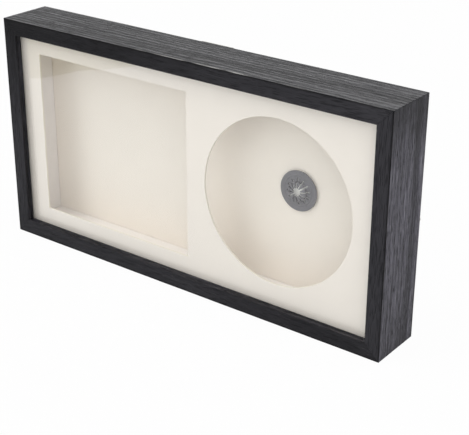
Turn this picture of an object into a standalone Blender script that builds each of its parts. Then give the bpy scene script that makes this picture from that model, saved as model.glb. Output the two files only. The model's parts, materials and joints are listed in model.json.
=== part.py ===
# A display frame for a disc and its case: a black wood shadow box with glass, a cream
# mat with a square and a round window, one deep cavity lined with spacers, a finger hub
# for the disc, and a back panel held by turn buttons.
#
# Metres, +Z up. The front faces -Y and +X is to the right as seen from the front.
# The origin lies under the middle of the frame, at the height of its underside.

import math

import bmesh
import bpy
from mathutils import Vector

# Driving dimensions
case_window_width = 0.143
case_window_height = 0.1275
disc_window_diameter = 0.1228
mat_margin_left = 0.017
mat_margin_between = 0.01625
mat_margin_right = 0.01735
mat_margin_height = 0.01295
rail_face = 0.0118
rail_wall = 0.0073
lip_thickness = 0.0053
frame_depth = 0.0441
glass_thickness = 0.002
mat_thickness = 0.0015
board_thickness = 0.003
panel_thickness = 0.003

# Clearances
seat_gap = 0.0003
mitre_gap = 0.00015
pivot_gap = 0.00015
overrun = 0.002

# Sizes that follow from the windows and the wood
opening_width = (mat_margin_left + case_window_width + mat_margin_between
                 + disc_window_diameter + mat_margin_right)
opening_height = max(case_window_height, disc_window_diameter) + 2 * mat_margin_height
frame_width = opening_width + 2 * rail_face
frame_height = opening_height + 2 * rail_face
pack_width = frame_width - 2 * (rail_wall + seat_gap)
pack_height = frame_height - 2 * (rail_wall + seat_gap)
spacer_thickness = rail_face - rail_wall - seat_gap
case_window_x = -opening_width / 2 + mat_margin_left + case_window_width / 2
disc_window_x = opening_width / 2 - mat_margin_right - disc_window_diameter / 2
middle_z = frame_height / 2

# The stack behind the lip, measured back from the front face of the wood
glass_front = lip_thickness + seat_gap
glass_rear = glass_front + glass_thickness
mat_front = glass_rear + seat_gap
mat_rear = mat_front + mat_thickness
panel_rear = frame_depth - seat_gap
panel_front = panel_rear - panel_thickness
board_rear = panel_front - seat_gap
board_front = board_rear - board_thickness
spacer_front = mat_rear + seat_gap
spacer_rear = board_front - seat_gap

# The bumpers stand proud of everything else behind, so they set the depth over all
bumper_height = 0.0034
front_y = -(frame_depth + seat_gap + bumper_height) / 2
rear_y = front_y + frame_depth

# Quarter turns about Y
quarter = math.pi / 2


# Helpers


def make_material(name, colour, roughness, metallic=0.0, transmission=0.0):
    finish = bpy.data.materials.new(name)
    finish.use_nodes = True
    shader = finish.node_tree.nodes["Principled BSDF"]
    shader.inputs["Base Color"].default_value = (*colour, 1.0)
    shader.inputs["Roughness"].default_value = roughness
    shader.inputs["Metallic"].default_value = metallic
    shader.inputs["Transmission Weight"].default_value = transmission
    return finish


def place(name, mesh, location, turn=(0, 0, 0)):
    """An object that shows the mesh at a location, turned by Euler angles"""
    thing = bpy.data.objects.new(name, mesh)
    thing.location = location
    thing.rotation_euler = turn
    bpy.context.scene.collection.objects.link(thing)
    return thing


def make_mesh(name, shape, finish=None, smooth=False):
    """A mesh from a bmesh, with its faces pointing out"""
    bmesh.ops.recalc_face_normals(shape, faces=shape.faces)
    if shape.calc_volume(signed=True) < 0:
        bmesh.ops.reverse_faces(shape, faces=shape.faces)
    mesh = bpy.data.meshes.new(name)
    shape.to_mesh(mesh)
    shape.free()
    if finish:
        mesh.materials.append(finish)
    if smooth:
        mesh.shade_smooth()
        mesh.set_sharp_from_angle(angle=math.radians(32))
    return mesh


def carve(target, cutter):
    """Cut one object out of another, and keep the cutter as a guide"""
    cutter.hide_render = True
    cutter.display_type = "WIRE"
    modifier = target.modifiers.new(cutter.name, "BOOLEAN")
    modifier.operation = "DIFFERENCE"
    modifier.object = cutter


def settled_mesh(thing):
    """The mesh of an object with its cuts applied, for pieces that repeat"""
    bpy.context.view_layer.update()
    graph = bpy.context.evaluated_depsgraph_get()
    mesh = bpy.data.meshes.new_from_object(thing.evaluated_get(graph))
    for modifier in thing.modifiers:
        bpy.data.objects.remove(modifier.object, do_unlink=True)
    bpy.data.objects.remove(thing, do_unlink=True)
    return mesh


def loft(rings):
    """A closed solid through rings of points, with its two ends filled"""
    shape = bmesh.new()
    loops = [[shape.verts.new(point) for point in ring] for ring in rings]
    count = len(rings[0])
    for near, far in zip(loops, loops[1:]):
        for i in range(count):
            j = (i + 1) % count
            shape.faces.new((near[i], near[j], far[j], far[i]))
    shape.faces.new(loops[0])
    shape.faces.new(loops[-1])
    return shape


def prism(outline, low, high):
    """An outline of (x, z) points, extruded along Y"""
    return loft([[(x, y, z) for x, z in outline] for y in (low, high)])


def revolve(profile, steps, closed=False):
    """A solid turned about Z from (radius, height) points, open ends lying on the axis"""
    shape = bmesh.new()
    columns = []
    for radius, height in profile:
        if radius == 0:
            columns.append([shape.verts.new((0, 0, height))] * steps)
            continue
        angles = [2 * math.pi * step / steps for step in range(steps)]
        columns.append([shape.verts.new((radius * math.cos(a), radius * math.sin(a), height))
                        for a in angles])
    pairs = list(zip(columns, columns[1:]))
    if closed:
        pairs.append((columns[-1], columns[0]))
    for near, far in pairs:
        for i in range(steps):
            j = (i + 1) % steps
            corners = [near[i], near[j], far[j], far[i]]
            distinct = [c for k, c in enumerate(corners) if c not in corners[:k]]
            shape.faces.new(distinct)
    return shape


def rounded_outline(corners, steps=3):
    """Round each corner of ((x, y), radius) with an arc, and keep those of radius zero"""
    outline = []
    for i, (point, radius) in enumerate(corners):
        corner = Vector(point)
        if radius == 0:
            outline.append(corner)
            continue
        before = (Vector(corners[i - 1][0]) - corner).normalized()
        after = (Vector(corners[(i + 1) % len(corners)][0]) - corner).normalized()
        half_angle = before.angle(after) / 2
        centre = corner + (before + after).normalized() * radius / math.sin(half_angle)
        start = corner + before * radius / math.tan(half_angle) - centre
        end = corner + after * radius / math.tan(half_angle) - centre
        sweep = math.pi - 2 * half_angle
        for step in range(steps + 1):
            turned = sweep * step / steps
            arm = start * math.sin(sweep - turned) + end * math.sin(turned)
            outline.append(centre + arm / math.sin(sweep))
    return outline


def offset_path(path, distance):
    """Points moved square to an open path, to its left for a positive distance"""
    points = [Vector(point) for point in path]
    moved = []
    for i, point in enumerate(points):
        before = (point - points[i - 1]).normalized() if i > 0 else None
        after = (points[i + 1] - point).normalized() if i < len(points) - 1 else None
        sides = [Vector((-d.y, d.x)) for d in (before, after) if d]
        middle = sum(sides, Vector((0, 0))).normalized()
        moved.append(point + middle * distance / middle.dot(sides[0]))
    return moved


def star_outline(arms, half_width, reach, turn=0.0, tip_steps=4):
    """Arms of equal width with round tips, joined at the middle"""
    outline = []
    for arm in range(arms):
        angle = turn + 2 * math.pi * arm / arms
        along = Vector((math.cos(angle), math.sin(angle)))
        across = Vector((-along.y, along.x))
        for step in range(tip_steps + 1):
            tip = math.pi * (step / tip_steps - 0.5)
            out = reach - half_width + half_width * math.cos(tip)
            outline.append(along * out + across * half_width * math.sin(tip))
        outline.append(along * half_width / math.tan(math.pi / arms) + across * half_width)
    return outline


def plate_loft(stations, thickness, edge=0.0):
    """A bent plate from (along, low, high, lift) stations, with its edges chamfered"""
    rings = []
    for along, low, high, lift in stations:
        ring = [(along, lift + edge, low), (along, lift + thickness - edge, low)]
        ring += [(along, lift + thickness - edge, high), (along, lift + edge, high)]
        if edge:
            side = min(edge, (high - low) / 4)
            ring.insert(2, (along, lift + thickness, low + side))
            ring.insert(3, (along, lift + thickness, high - side))
            ring += [(along, lift, high - side), (along, lift, low + side)]
        rings.append(ring)
    return loft(rings)


def sheet(name, centre, size, edge, finish):
    """A flat board or pane with its edges eased"""
    half = Vector(size) / 2
    outline = [(-half.x, -half.z), (half.x, -half.z), (half.x, half.z), (-half.x, half.z)]
    shape = prism(outline, -half.y, half.y)
    bmesh.ops.bevel(shape, geom=shape.edges[:], offset=edge, segments=1, affect="EDGES")
    return place(name, make_mesh(name, shape, finish), centre)


def pin_profile(shank, length, point, head, rim, height):
    """Half section of a nail or screw, its head's underside at zero height"""
    dome_steps = 4
    profile = [(0, -length), (shank, point - length), (shank, 0), (head, 0), (head, rim)]
    for step in range(1, dome_steps):
        angle = quarter * step / dome_steps
        profile.append((head * math.cos(angle), rim + (height - rim) * math.sin(angle)))
    return profile + [(0, height)]


# Wood rails: an L-shaped section, mitred at both ends

outer_edge_radius = 0.0008
lip_edge_radius = 0.0006
rear_edge_radius = 0.0005
rabbet_edge_radius = 0.0003


def rail_section():
    """(inward, back) points round the section of a rail"""
    return rounded_outline([
        ((0, 0), outer_edge_radius),
        ((rail_face, 0), lip_edge_radius),
        ((rail_face, lip_thickness), rabbet_edge_radius),
        ((rail_wall, lip_thickness), 0),
        ((rail_wall, frame_depth), rabbet_edge_radius),
        ((0, frame_depth), rear_edge_radius),
    ])


def rail_mesh(name, length, finish):
    """A rail along X whose outer edge lies at zero and whose inside faces +Z"""
    half = length / 2 - mitre_gap / math.sqrt(2)
    section = rail_section()
    start = [(inward - half, back, inward) for inward, back in section]
    end = [(half - inward, back, inward) for inward, back in section]
    return make_mesh(name, loft([start, end]), finish, smooth=True)


def make_rails(wood):
    across = rail_mesh("rail_across", frame_width, wood)
    upright = rail_mesh("rail_upright", frame_height, wood)
    side = frame_width / 2
    return {
        "bottom": place("bottom_rail", across, (0, front_y, 0)),
        "top": place("top_rail", across, (0, front_y, frame_height), (0, 2 * quarter, 0)),
        "left": place("left_rail", upright, (-side, front_y, middle_z), (0, quarter, 0)),
        "right": place("right_rail", upright, (side, front_y, middle_z), (0, -quarter, 0)),
    }


# Corner nails: V-shaped strips driven across each mitre from behind

nail_apex_share = 0.36
nail_leg = 0.005
nail_flange = 0.0007
nail_thickness = 0.0005
nail_depth = 0.010
nail_sink = 0.0003


def corner_strip(half_width, extra):
    """Outline of the strip, its legs along +X and +Z from a corner of the frame"""
    apex = rail_wall * nail_apex_share
    reach = apex + nail_leg
    flange = nail_flange + extra
    path = [(reach + flange, apex - flange), (reach, apex), (apex, apex),
            (apex, reach), (apex - flange, reach + flange)]
    return offset_path(path, half_width) + offset_path(path, -half_width)[::-1]


def make_corner_nails(rails, steel):
    half = nail_thickness / 2
    strip = prism(corner_strip(half, 0), -nail_depth, -nail_sink)
    strip_mesh = make_mesh("corner_nail", strip, steel)
    slot = prism(corner_strip(half + seat_gap, seat_gap), -nail_depth - seat_gap, overrun)
    slot_mesh = make_mesh("corner_slot", slot)
    corners = [("bottom", "left", 0), ("top", "left", 1), ("top", "right", 2),
               ("bottom", "right", 3)]
    for height, side, turns in corners:
        x = frame_width / 2 * (-1 if side == "left" else 1)
        z = frame_height if height == "top" else 0
        spot = (x, rear_y, z)
        turn = (0, quarter * turns, 0)
        place(f"corner_nail_{height}_{side}", strip_mesh, spot, turn)
        cutter = place(f"corner_slot_{height}_{side}", slot_mesh, spot, turn)
        carve(rails[height], cutter)
        carve(rails[side], cutter)


# Glass, mat, spacers, boards

glass_edge = 0.0002
card_edge = 0.0001
panel_edge = 0.0004
disc_window_steps = 128


def make_glass(glass):
    centre = (0, front_y + (glass_front + glass_rear) / 2, middle_z)
    sheet("front_glass", centre, (pack_width, glass_thickness, pack_height), glass_edge, glass)


def make_mat(card):
    centre = (0, front_y + (mat_front + mat_rear) / 2, middle_z)
    mat = sheet("window_mat", centre, (pack_width, mat_thickness, pack_height), card_edge, card)
    through = mat_thickness / 2 + overrun
    half_width = case_window_width / 2
    half_height = case_window_height / 2
    square = prism([(-half_width, -half_height), (half_width, -half_height),
                    (half_width, half_height), (-half_width, half_height)], -through, through)
    middle = Vector(centre)
    case_cutter = make_mesh("case_window", square)
    carve(mat, place("case_window", case_cutter, middle + Vector((case_window_x, 0, 0))))
    radius = disc_window_diameter / 2
    angles = [2 * math.pi * step / disc_window_steps for step in range(disc_window_steps)]
    circle = prism([(radius * math.cos(a), radius * math.sin(a)) for a in angles],
                   -through, through)
    disc_cutter = make_mesh("disc_window", circle)
    carve(mat, place("disc_window", disc_cutter, middle + Vector((disc_window_x, 0, 0))))


def make_spacers(card):
    y = front_y + (spacer_front + spacer_rear) / 2
    depth = spacer_rear - spacer_front
    inset = rail_wall + seat_gap + spacer_thickness / 2
    across = (pack_width, depth, spacer_thickness)
    sheet("bottom_spacer", (0, y, inset), across, card_edge, card)
    sheet("top_spacer", (0, y, frame_height - inset), across, card_edge, card)
    height = pack_height - 2 * (spacer_thickness + seat_gap)
    upright = (spacer_thickness, depth, height)
    sheet("left_spacer", (inset - frame_width / 2, y, middle_z), upright, card_edge, card)
    sheet("right_spacer", (frame_width / 2 - inset, y, middle_z), upright, card_edge, card)


def make_boards(card, fibreboard):
    board_y = front_y + (board_front + board_rear) / 2
    board = (pack_width, board_thickness, pack_height)
    sheet("mount_board", (0, board_y, middle_z), board, card_edge, card)
    panel_y = front_y + (panel_front + panel_rear) / 2
    panel = (pack_width, panel_thickness, pack_height)
    sheet("back_panel", (0, panel_y, middle_z), panel, panel_edge, fibreboard)


# Disc hub: a thin base with a ring of spring fingers that snap into a 15 mm disc hole

hub_radius = 0.0151
hub_base = 0.0008
hub_rim_edge = 0.0002
hub_seat_radius = 0.0113
hub_seat_rise = 0.0002
neck_radius = 0.0072
neck_fillet = 0.0004
lip_bulge = 0.0004
lip_height = 0.0026
crown_height = 0.0037
crown_reach_share = 0.9
crown_dish = 0.0006
finger_wall = 0.0008
hub_hole_radius = 0.0029
hub_steps = 60
crown_steps = 6
finger_count = 12
slit_width = 0.0012
slit_reach = 0.0097
slit_turn = math.radians(6)
pad_radius = 0.0135
pad_thickness = 0.0008
pad_edge = 0.0001


def crown_curve():
    """(radius, height) points over the fingers, from their lip to their top"""
    lip_radius = neck_radius + lip_bulge
    reach = (lip_radius - hub_hole_radius) * crown_reach_share
    points = []
    for step in range(crown_steps + 1):
        angle = quarter * step / crown_steps
        points.append((lip_radius - reach * (1 - math.cos(angle)),
                       lip_height + (crown_height - lip_height) * math.sin(angle)))
    return points


def hub_profile():
    """Closed half section of the hub, from the rim over the fingers and back beneath"""
    seat = hub_base + hub_seat_rise
    base = [(hub_radius, 0), (hub_radius, hub_base - hub_rim_edge),
            (hub_radius - hub_rim_edge, hub_base),
            (hub_seat_radius + hub_seat_rise, hub_base), (hub_seat_radius, seat)]
    shoulder = lip_height - lip_bulge
    neck = [(neck_radius + neck_fillet, seat), (neck_radius, seat + neck_fillet),
            (neck_radius, shoulder)]
    crown = crown_curve()
    tip = crown_height - crown_dish
    inside = neck_radius - finger_wall
    underside = [(hub_hole_radius, tip), (hub_hole_radius, tip - finger_wall),
                 (crown[-1][0], crown_height - finger_wall), (inside, shoulder), (inside, 0)]
    return base + neck + crown + underside


def make_hub(plastic, foam):
    pad_y = front_y + board_front - seat_gap
    hub_y = pad_y - pad_thickness - seat_gap
    facing = (quarter, 0, 0)
    inside = pad_radius - pad_edge
    pad = revolve([(0, 0), (inside, 0), (pad_radius, pad_edge),
                   (pad_radius, pad_thickness - pad_edge), (inside, pad_thickness),
                   (0, pad_thickness)], hub_steps)
    pad_mesh = make_mesh("hub_pad", pad, foam, smooth=True)
    place("hub_pad", pad_mesh, (disc_window_x, pad_y, middle_z), facing)
    shape = revolve(hub_profile(), hub_steps, closed=True)
    spot = (disc_window_x, hub_y, middle_z)
    hub = place("disc_hub", make_mesh("disc_hub", shape, plastic, smooth=True), spot, facing)
    star = star_outline(finger_count, slit_width / 2, slit_reach, slit_turn)
    rings = [[(x, y, z) for x, y in star] for z in (-overrun, crown_height + overrun)]
    carve(hub, place("finger_slits", make_mesh("finger_slits", loft(rings)), spot, facing))


# Turn buttons: each pivots on a screw in the rail and overlaps the back panel

button_margin = 0.0004
button_length = 0.0094
button_tip_radius = 0.0024
button_thickness = 0.0009
button_edge = 0.00015
button_curl = 0.0009
button_curl_length = 0.0032
button_steps = 6
screw_shank_radius = 0.0012
screw_length = 0.011
screw_point = 0.002
screw_head_radius = 0.0026
screw_head_rim = 0.0004
screw_head_height = 0.0015
screw_steps = 20
recess_arms = 4
recess_half_width = 0.0003
recess_reach = 0.0014
recess_depth = 0.0009
button_spread = 0.085


def button_stations():
    """Stations along the button, from behind its pivot to its curled tip"""
    wide = rail_wall / 2 - button_margin
    lean = math.asin((wide - button_tip_radius) / button_length)
    ends = [(0, wide, math.pi, quarter - lean),
            (button_length, button_tip_radius, quarter - lean, 0)]
    stations = []
    for centre, radius, first, last in ends:
        for step in range(button_steps + 1):
            angle = first + (last - first) * step / button_steps
            half = max(radius * math.sin(angle), button_edge)
            stations.append((centre + radius * math.cos(angle), half))
    tip = button_length + button_tip_radius
    curl_start = tip - button_curl_length
    lifted = []
    for along, half in stations:
        share = max(0, along - curl_start) / button_curl_length
        lifted.append((along, -half, half, button_curl * share ** 2))
    return lifted


def button_mesh(steel):
    shape = plate_loft(button_stations(), button_thickness, button_edge)
    button = place("button", make_mesh("button", shape, steel, smooth=True), (0, 0, 0))
    radius = screw_shank_radius + pivot_gap
    through = button_thickness + overrun
    hole = revolve([(0, -through), (radius, -through), (radius, through), (0, through)],
                   screw_steps)
    carve(button, place("button_hole", make_mesh("button_hole", hole), (0, 0, 0),
                        (quarter, 0, 0)))
    return settled_mesh(button)


def screw_mesh(steel):
    profile = pin_profile(screw_shank_radius, screw_length, screw_point, screw_head_radius,
                          screw_head_rim, screw_head_height)
    shape = revolve(profile, screw_steps)
    screw = place("screw", make_mesh("screw", shape, steel, smooth=True), (0, 0, 0))
    cross = star_outline(recess_arms, recess_half_width, recess_reach)
    levels = (screw_head_height - recess_depth, screw_head_height + overrun)
    recess = loft([[(x, y, z) for x, y in cross] for z in levels])
    carve(screw, place("screw_recess", make_mesh("screw_recess", recess), (0, 0, 0)))
    return settled_mesh(screw)


def hole_mesh(name, shank, length):
    """Cutter for the hole that a nail or screw is driven into, head side at zero"""
    radius = shank + seat_gap
    low = -length - seat_gap
    shape = revolve([(0, low), (radius, low), (radius, overrun), (0, overrun)], screw_steps)
    return make_mesh(name, shape)


def make_turn_buttons(rails, steel):
    button = button_mesh(steel)
    screw = screw_mesh(steel)
    seat_y = rear_y + seat_gap
    head_y = seat_y + button_thickness + seat_gap
    hole = hole_mesh("screw_hole", screw_shank_radius, screw_length)
    low = rail_wall / 2
    high = frame_height - low
    side = frame_width / 2 - low
    spots = [("top_left", "top", -button_spread, high, 1),
             ("top_right", "top", button_spread, high, 1),
             ("bottom_left", "bottom", -button_spread, low, -1),
             ("bottom_right", "bottom", button_spread, low, -1),
             ("left", "left", -side, middle_z, 0),
             ("right", "right", side, middle_z, 2)]
    backwards = (-quarter, 0, 0)
    for name, rail, x, z, turns in spots:
        place(f"turn_button_{name}", button, (x, seat_y, z), (0, quarter * turns, 0))
        place(f"button_screw_{name}", screw, (x, head_y, z), backwards)
        cutter = place(f"screw_hole_{name}", hole, (x, head_y, z), backwards)
        carve(rails[rail], cutter)


# Sawtooth hanger, nailed behind the top rail

hanger_length = 0.044
hanger_margin = 0.0006
hanger_thickness = 0.0008
hanger_lift = 0.0016
hanger_ramp = 0.002
hanger_corner = 0.0012
hanger_corner_steps = 3
tooth_count = 9
tooth_pitch = 0.003
tooth_depth = 0.0013
hanger_nail_inset = 0.0035
hanger_nail_radius = 0.0008
hanger_nail_length = 0.010
hanger_nail_point = 0.0016
hanger_nail_head = 0.0017
hanger_nail_rim = 0.0002
hanger_nail_height = 0.0008


def hanger_stations():
    """Stations from the middle of the hanger to its right end"""
    top = -hanger_margin
    low = hanger_margin - rail_wall
    teeth_half = tooth_count * tooth_pitch / 2
    stations = []
    for step in range(tooth_count + 1):
        along = step * tooth_pitch / 2
        notch = tooth_depth if step % 2 == 0 else 0
        stations.append((along, low + notch, top, hanger_lift))
    stations.append((teeth_half + hanger_ramp, low, top, 0))
    end = hanger_length / 2
    for step in range(hanger_corner_steps + 1):
        angle = quarter * step / hanger_corner_steps
        along = end - hanger_corner * (1 - math.sin(angle))
        shorter = hanger_corner * (1 - math.cos(angle))
        stations.append((along, low + shorter, top - shorter, 0))
    return stations


def make_hanger(rails, steel):
    right = hanger_stations()
    left = [(-along, low, high, lift) for along, low, high, lift in right[:0:-1]]
    shape = plate_loft(left + right, hanger_thickness)
    seat_y = rear_y + seat_gap
    hanger = place("sawtooth_hanger", make_mesh("sawtooth_hanger", shape, steel),
                   (0, seat_y, frame_height))
    nail = revolve(pin_profile(hanger_nail_radius, hanger_nail_length, hanger_nail_point,
                               hanger_nail_head, hanger_nail_rim, hanger_nail_height),
                   screw_steps)
    nail_mesh = make_mesh("hanger_nail", nail, steel, smooth=True)
    hole = hole_mesh("hanger_hole", hanger_nail_radius, hanger_nail_length)
    head_y = seat_y + hanger_thickness + seat_gap
    backwards = (-quarter, 0, 0)
    for name, sign in (("left", -1), ("right", 1)):
        x = sign * (hanger_length / 2 - hanger_nail_inset)
        spot = (x, head_y, frame_height - rail_wall / 2)
        place(f"hanger_nail_{name}", nail_mesh, spot, backwards)
        cutter = place(f"hanger_hole_{name}", hole, spot, backwards)
        carve(hanger, cutter)
        carve(rails["top"], cutter)


# Wall bumpers: rubber pads behind the bottom rail, near its ends

bumper_margin = 0.0004
bumper_taper = 0.0005
bumper_round = 0.0006
bumper_inset = 0.016
bumper_steps = 28
bumper_round_steps = 3


def make_bumpers(rubber):
    radius = rail_wall / 2 - bumper_margin
    shoulder = radius - bumper_taper
    profile = [(0, 0), (radius, 0)]
    for step in range(bumper_round_steps + 1):
        angle = quarter * step / bumper_round_steps
        profile.append((shoulder - bumper_round * (1 - math.cos(angle)),
                        bumper_height - bumper_round * (1 - math.sin(angle))))
    profile.append((0, bumper_height))
    mesh = make_mesh("wall_bumper", revolve(profile, bumper_steps), rubber, smooth=True)
    for name, sign in (("left", -1), ("right", 1)):
        x = sign * (frame_width / 2 - bumper_inset)
        place(f"wall_bumper_{name}", mesh, (x, rear_y + seat_gap, rail_wall / 2),
              (-quarter, 0, 0))


def build():
    for thing in list(bpy.data.objects):
        bpy.data.objects.remove(thing, do_unlink=True)
    wood = make_material("black_wood", (0.022, 0.022, 0.025), 0.55)
    glass = make_material("clear_glass", (0.95, 0.97, 0.96), 0.02, transmission=1.0)
    card = make_material("cream_card", (0.80, 0.74, 0.67), 0.85)
    plastic = make_material("grey_plastic", (0.20, 0.20, 0.23), 0.42)
    foam = make_material("white_foam", (0.83, 0.81, 0.77), 0.9)
    fibreboard = make_material("brown_fibreboard", (0.24, 0.15, 0.085), 0.8)
    steel = make_material("zinc_steel", (0.62, 0.62, 0.60), 0.35, metallic=1.0)
    rubber = make_material("dark_rubber", (0.05, 0.05, 0.05), 0.6)
    rails = make_rails(wood)
    make_corner_nails(rails, steel)
    make_glass(glass)
    make_mat(card)
    make_spacers(card)
    make_boards(card, fibreboard)
    make_hub(plastic, foam)
    make_turn_buttons(rails, steel)
    make_hanger(rails, steel)
    make_bumpers(rubber)


build()
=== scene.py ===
import json
import math
import bpy
import bmesh
from mathutils import Matrix, Vector, noise

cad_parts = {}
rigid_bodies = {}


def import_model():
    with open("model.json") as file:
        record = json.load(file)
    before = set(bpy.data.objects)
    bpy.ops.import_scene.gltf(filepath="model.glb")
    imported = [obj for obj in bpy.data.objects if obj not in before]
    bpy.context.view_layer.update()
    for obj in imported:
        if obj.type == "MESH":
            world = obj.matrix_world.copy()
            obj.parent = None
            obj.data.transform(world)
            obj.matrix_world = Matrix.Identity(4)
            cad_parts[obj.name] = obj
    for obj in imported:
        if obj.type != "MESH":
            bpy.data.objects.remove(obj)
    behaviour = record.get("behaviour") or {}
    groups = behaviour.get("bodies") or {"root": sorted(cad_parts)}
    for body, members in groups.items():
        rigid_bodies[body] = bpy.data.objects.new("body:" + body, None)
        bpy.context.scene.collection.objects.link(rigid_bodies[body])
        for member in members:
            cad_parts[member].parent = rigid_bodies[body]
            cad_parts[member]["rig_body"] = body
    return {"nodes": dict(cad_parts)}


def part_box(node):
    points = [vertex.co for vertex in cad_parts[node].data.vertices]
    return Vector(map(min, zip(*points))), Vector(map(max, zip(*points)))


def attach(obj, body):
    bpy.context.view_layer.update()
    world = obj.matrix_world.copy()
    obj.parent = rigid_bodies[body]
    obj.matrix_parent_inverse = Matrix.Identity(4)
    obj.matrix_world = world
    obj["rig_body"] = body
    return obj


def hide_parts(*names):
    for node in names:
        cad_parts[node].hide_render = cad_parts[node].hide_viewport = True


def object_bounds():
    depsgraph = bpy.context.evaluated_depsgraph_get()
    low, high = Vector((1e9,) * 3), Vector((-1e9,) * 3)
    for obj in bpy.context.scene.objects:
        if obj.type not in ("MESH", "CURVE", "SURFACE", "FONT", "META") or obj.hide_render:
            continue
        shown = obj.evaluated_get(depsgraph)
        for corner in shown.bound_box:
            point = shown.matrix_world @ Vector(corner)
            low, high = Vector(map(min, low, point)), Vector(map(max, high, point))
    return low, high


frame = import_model()
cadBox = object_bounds()
nodes = frame["nodes"]
scene = bpy.context.scene
frontY = cadBox[0].y
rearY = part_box("top_rail")[1].y
topZ = cadBox[1].z
middleZ = topZ / 2
sideX = cadBox[1].x
print("frame loaded:", len(nodes), "pieces")


# Camera as in the photo: front right and above, a little rolled

photoView = {
    "imageWidth": 469,  # pixels
    "focalLength": 1194.9,  # pixels
    "sensorWidth": 36.0,  # mm
    "clipStart": 0.02,
    "location": (0.50264, -0.62359, 0.41974),
    "aim": (0.03190, 0.0, 0.05874),  # what the middle of the picture shows
    "roll": 0.225,  # degrees
}


def makeCamera():
    data = bpy.data.cameras.new("photoCamera")
    data.sensor_width = photoView["sensorWidth"]
    data.lens = photoView["focalLength"] / photoView["imageWidth"] * photoView["sensorWidth"]
    data.clip_start = photoView["clipStart"]
    camera = bpy.data.objects.new("photoCamera", data)
    scene.collection.objects.link(camera)
    place = Vector(photoView["location"])
    turn = (Vector(photoView["aim"]) - place).to_track_quat("-Z", "Y").to_matrix()
    roll = Matrix.Rotation(math.radians(photoView["roll"]), 3, "Z")
    camera.matrix_world = Matrix.Translation(place) @ (turn @ roll).to_4x4()
    scene.camera = camera


makeCamera()
print("camera placed")


# Helpers for finishes: sizes are in metres, in the frame's own axes, and a value or place is a node's output

shaderName = "Principled BSDF"
commonChance = (0.3, 0.7)  # a cloudy chance is seldom outside these


def newFinish(name, colour, roughness, **sockets):
    finish = bpy.data.materials.new(name)
    finish.use_nodes = True
    inputs = finish.node_tree.nodes[shaderName].inputs
    inputs["Base Color"].default_value = (*colour, 1)
    inputs["Roughness"].default_value = roughness
    for key, value in sockets.items():
        inputs[key.replace("_", " ")].default_value = value
    return finish


def addNode(tree, kind, sockets=None, **settings):
    node = tree.nodes.new("ShaderNode" + kind)
    for key, value in settings.items():
        setattr(node, key, value)
    for key, value in (sockets or {}).items():
        if isinstance(value, bpy.types.NodeSocket):
            tree.links.new(value, node.inputs[key])
        else:
            node.inputs[key].default_value = value
    return node


def feed(socketName, source):
    tree = source.id_data
    tree.links.new(source, tree.nodes[shaderName].inputs[socketName])


def ownPlace(finish):
    return addNode(finish.node_tree, "TexCoord").outputs["Object"]


def patches(place, size, detail=2.0, rough=0.5, distortion=0.0):
    # cloudy chance from 0 to 1, in patches of about the given size, or one size each along x, y and z;
    # the looks of the pieces give these values in this order
    sizes = size if isinstance(size, (list, tuple)) else [size] * 3
    scaled = addNode(place.id_data, "Mapping", {"Vector": place, "Scale": [1 / s for s in sizes]})
    settings = {"Scale": 1.0, "Detail": detail, "Roughness": rough, "Distortion": distortion}
    return addNode(place.id_data, "TexNoise", {"Vector": scaled.outputs[0], **settings}).outputs["Fac"]


def remap(value, low, high, newLow=0.0, newHigh=1.0):
    limits = {"From Min": low, "From Max": high, "To Min": newLow, "To Max": newHigh}
    return addNode(value.id_data, "MapRange", {"Value": value, **limits}).outputs["Result"]


def stretch(value, newLow=0.0, newHigh=1.0):
    return remap(value, *commonChance, newLow, newHigh)


def combine(operation, first, second):
    return addNode(first.id_data, "Math", {0: first, 1: second}, operation=operation).outputs[0]


def times(value, factor):
    return combine("MULTIPLY", value, factor)


def plus(total, *values):
    for value in values:
        total = combine("ADD", total, value)
    return total


def mixColours(share, first, second):
    sockets = {0: share}
    for index, colour in ((6, first), (7, second)):
        sockets[index] = colour if isinstance(colour, bpy.types.NodeSocket) else (*colour, 1)
    return addNode(share.id_data, "Mix", sockets, data_type="RGBA").outputs[2]


def ramp(value, stops):
    # levels between (place, level) stops; a colour ramp itself ends at 1
    most = max(level for place, level in stops)
    node = addNode(value.id_data, "ValToRGB", {"Fac": value})
    points = node.color_ramp.elements
    for place, level in stops[1:-1]:
        points.new(place)
    for point, (place, level) in zip(points, stops):
        point.position = place
        point.color = (level / most, level / most, level / most, 1)
    return times(node.outputs["Color"], most)


def addRelief(height, distance):
    bump = addNode(height.id_data, "Bump", {"Height": height, "Distance": distance, "Strength": 1.0})
    feed("Normal", bump.outputs[0])


def makeMoulded(name, look):
    # plastic or rubber: a fine grit, and broader patches that differ in shine
    finish = newFinish(name, look["colour"], look["roughness"])
    where = ownPlace(finish)
    grit = patches(where, *look["grit"])
    cloud = patches(where, *look["clouds"])
    feed("Base Color", mixColours(plus(times(grit, 0.5), times(cloud, 0.5)), look["dark"], look["light"]))
    feed("Roughness", stretch(cloud, *look["roughnessLimits"]))
    addRelief(grit, look["relief"])
    return finish


def lightPathShare(tree, names):
    # 1 for the kinds of ray that are named, 0 for the rest
    path = addNode(tree, "LightPath")
    share = path.outputs[names[0]]
    for name in names[1:]:
        share = combine("MAXIMUM", share, path.outputs[name])
    return share


def mixShader(finish, share, other):
    # the finish's own shader where share is 0, the other one where it is 1
    tree = finish.node_tree
    own = tree.nodes[shaderName].outputs[0]
    mix = addNode(tree, "MixShader", {0: share, 1: own, 2: other.outputs[0]})
    tree.links.new(mix.outputs[0], tree.nodes["Material Output"].inputs["Surface"])


def shaded(colour, factor):
    return tuple(part * factor for part in colour)


def paint(finish, *names):
    for name in names:
        for slot in nodes[name].material_slots:
            slot.material = finish


# Helpers for finer meshes, which stand in for the plainer shapes of the frame

flatAngle = 34  # degrees; an edge that turns further stays sharp
overrun = 0.001  # how far a cutter reaches past what it cuts


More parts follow.
